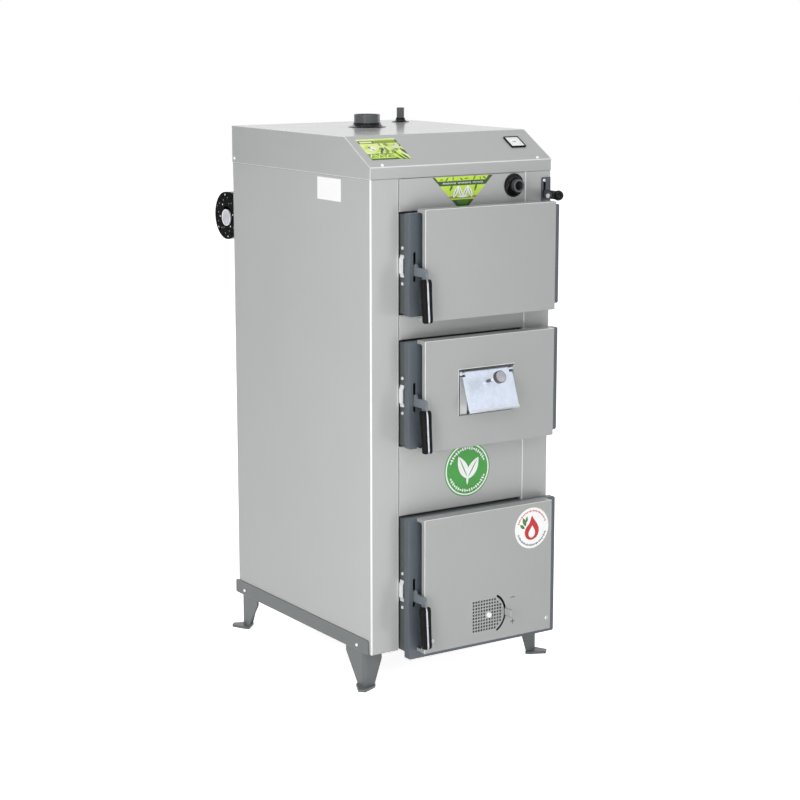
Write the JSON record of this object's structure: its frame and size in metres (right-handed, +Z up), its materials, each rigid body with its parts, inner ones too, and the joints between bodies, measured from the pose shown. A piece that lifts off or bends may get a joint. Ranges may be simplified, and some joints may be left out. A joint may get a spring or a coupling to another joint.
{
  "type": "coal boiler",
  "caption": "Hand-fed solid fuel central heating boiler with a grey sheet casing, dark latched front doors, an air flap, an air inlet, a rear blower and a flue outlet.",
  "frame": {"origin": "bottom centre of the bounding box, on the floor", "axes": "+Z up, -Y towards the side with the doors, +X to the right seen from the front, where the door hinges are"},
  "size_m": [0.6114, 1.0067, 1.46],
  "materials": {
    "casing_grey": "satin",
    "frame_grey": "satin powder coat",
    "jacket_steel": "matt",
    "zinc": "zinc plated",
    "black_plastic": "matt",
    "grip_plastic": "satin",
    "knob_grey": "matt",
    "black_rubber": "matt",
    "cast_iron": "as cast",
    "board": "matt",
    "rope": "woven",
    "raw_steel": "turned",
    "fan_black": "satin"
  },
  "bodies": {
    "boiler": {"jacket_sides": "jacket_steel", "jacket_rear": "jacket_steel", "jacket_crown": "jacket_steel", "jacket_floor": "jacket_steel", "jacket_front": "jacket_steel", "exchanger_shelves": "jacket_steel", "grate_bars": "cast_iron", "ash_pan": "zinc", "door_frame_top": "frame_grey", "door_frame_middle": "frame_grey", "door_frame_bottom": "frame_grey", "latch_keepers": "zinc", "side_panel_left": "casing_grey", "side_panel_right": "casing_grey", "front_panels": "casing_grey", "hood": "casing_grey", "rear_panel": "casing_grey", "base_rails": "frame_grey", "legs": "frame_grey", "water_stubs": "jacket_steel", "pipe_grommets": "black_rubber", "regulator_socket": "raw_steel", "thermometer": "black_plastic", "flue_collar": "jacket_steel", "blower_housing": "fan_black", "blower_cover": "fan_black", "blower_cap": "knob_grey", "air_duct": "zinc", "casing_screws": "zinc", "hinge_brackets": "frame_grey", "hinge_pins": "zinc", "damper_bracket": "frame_grey"},
    "door_top": {"door_leaf_top": "frame_grey", "door_cover_top": "casing_grey", "door_board_top": "board", "door_rope_top": "rope"},
    "latch_top": {"latch_lever_top": "frame_grey", "latch_grip_top": "grip_plastic"},
    "door_middle": {"door_leaf_middle": "frame_grey", "door_cover_middle": "casing_grey", "door_board_middle": "board", "door_rope_middle": "rope"},
    "latch_middle": {"latch_lever_middle": "frame_grey", "latch_grip_middle": "grip_plastic"},
    "door_bottom": {"door_leaf_bottom": "frame_grey", "door_cover_bottom": "casing_grey", "door_board_bottom": "board", "door_rope_bottom": "rope"},
    "latch_bottom": {"latch_lever_bottom": "frame_grey", "latch_grip_bottom": "grip_plastic"},
    "air_flap": {"air_flap": "zinc"},
    "flap_screw": {"flap_screw": "knob_grey"},
    "inlet_damper": {"inlet_damper": "zinc"},
    "damper_lever": {"damper_lever": "raw_steel", "damper_ball": "black_plastic"},
    "damper_link": {"damper_link": "zinc"},
    "bypass_damper": {"bypass_damper": "jacket_steel"},
    "impeller": {"impeller": "fan_black"}
  },
  "joints": [
    {"name": "door_top_swing", "type": "hinge", "parent": "boiler", "child": "door_top", "pos_m": [0.262, -0.36465, 1.1065], "axis": [0, 0, 1], "range_deg": [0, 100]},
    {"name": "latch_top_turn", "type": "hinge", "parent": "door_top", "child": "latch_top", "pos_m": [-0.176, -0.37965, 1.0915], "axis": [-1, 0, 0], "range_deg": [-5, 45]},
    {"name": "door_middle_swing", "type": "hinge", "parent": "boiler", "child": "door_middle", "pos_m": [0.262, -0.36465, 0.776], "axis": [0, 0, 1], "range_deg": [0, 100]},
    {"name": "latch_middle_turn", "type": "hinge", "parent": "door_middle", "child": "latch_middle", "pos_m": [-0.176, -0.37965, 0.761], "axis": [-1, 0, 0], "range_deg": [-5, 45]},
    {"name": "door_bottom_swing", "type": "hinge", "parent": "boiler", "child": "door_bottom", "pos_m": [0.262, -0.36465, 0.276], "axis": [0, 0, 1], "range_deg": [0, 100]},
    {"name": "latch_bottom_turn", "type": "hinge", "parent": "door_bottom", "child": "latch_bottom", "pos_m": [-0.176, -0.37965, 0.25], "axis": [-1, 0, 0], "range_deg": [-5, 45]},
    {"name": "air_flap_swing", "type": "hinge", "parent": "door_middle", "child": "air_flap", "pos_m": [0.022, -0.42065, 0.825], "axis": [-1, 0, 0], "range_deg": [-20, 25]},
    {"name": "flap_screw_slide", "type": "slide", "parent": "air_flap", "child": "flap_screw", "axis": [0, -0.9397, 0.342], "range_m": [-0.016, 0.0128]},
    {"name": "inlet_damper_turn", "type": "hinge", "parent": "door_bottom", "child": "inlet_damper", "pos_m": [0.034, -0.42125, 0.177], "axis": [0, 1, 0], "range_deg": [-42, 42]},
    {"name": "damper_lever_lift", "type": "hinge", "parent": "boiler", "child": "damper_lever", "pos_m": [0.257, -0.30665, 1.26], "axis": [-1, 0, 0], "range_deg": [0, 22]},
    {"name": "damper_link_turn", "type": "hinge", "parent": "damper_lever", "child": "damper_link", "pos_m": [0.257, -0.28661, 1.15693], "axis": [-1, 0, 0], "range_deg": [-22, 0]},
    {"name": "bypass_damper_turn", "type": "hinge", "parent": "boiler", "child": "bypass_damper", "pos_m": [0, 0.16175, 1.11864], "axis": [1, 0, 0], "range_deg": [0, 60]},
    {"name": "impeller_spin", "type": "hinge", "parent": "boiler", "child": "impeller", "pos_m": [-0.262, 0.42535, 1.167], "axis": [1, 0, 0], "continuous": true}
  ],
  "couplings": [
    {"joint": "flap_screw_slide", "follows": "air_flap_swing", "m_per_rad": -0.036},
    {"joint": "damper_link_turn", "follows": "damper_lever_lift", "ratio": -1},
    {"joint": "bypass_damper_turn", "follows": "damper_lever_lift", "ratio": 2.727}
  ]
}
